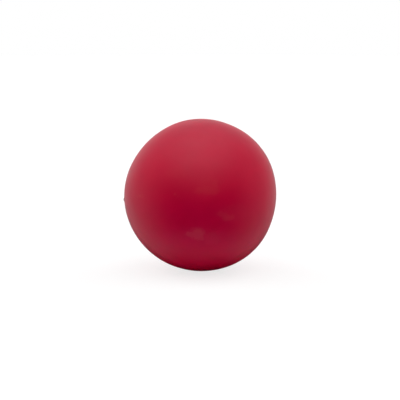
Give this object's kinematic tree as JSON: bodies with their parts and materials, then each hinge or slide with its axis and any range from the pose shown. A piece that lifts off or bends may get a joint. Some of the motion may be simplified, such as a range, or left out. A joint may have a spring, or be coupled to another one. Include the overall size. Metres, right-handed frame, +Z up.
{
  "type": "rubber ball",
  "caption": "Hollow rubber ball of half shells cemented at a bevelled seam, with a self-sealing valve plug inside, for throwing, bouncing and catching.",
  "frame": {"origin": "centre of the ball", "axes": "+Y along the ball's axis, towards the rear pole with the needle's way in; -Y towards the front pole; +Z up; the seam lies in the XZ plane"},
  "size_m": [0.0634, 0.0636, 0.0634],
  "materials": {
    "red_rubber": "satin moulded rubber, buffed",
    "rubber_cement": "cured cement, slightly glossy",
    "gum_rubber": "soft unfilled gum rubber, matt",
    "rubber_solution": "dried rubber solution, slightly glossy"
  },
  "bodies": {
    "root": {"front_half_shell": "red_rubber", "rear_half_shell": "red_rubber", "seam_cement": "rubber_cement", "valve_plug": "gum_rubber", "needle_hole_seal": "rubber_solution"}
  },
  "joints": []
}
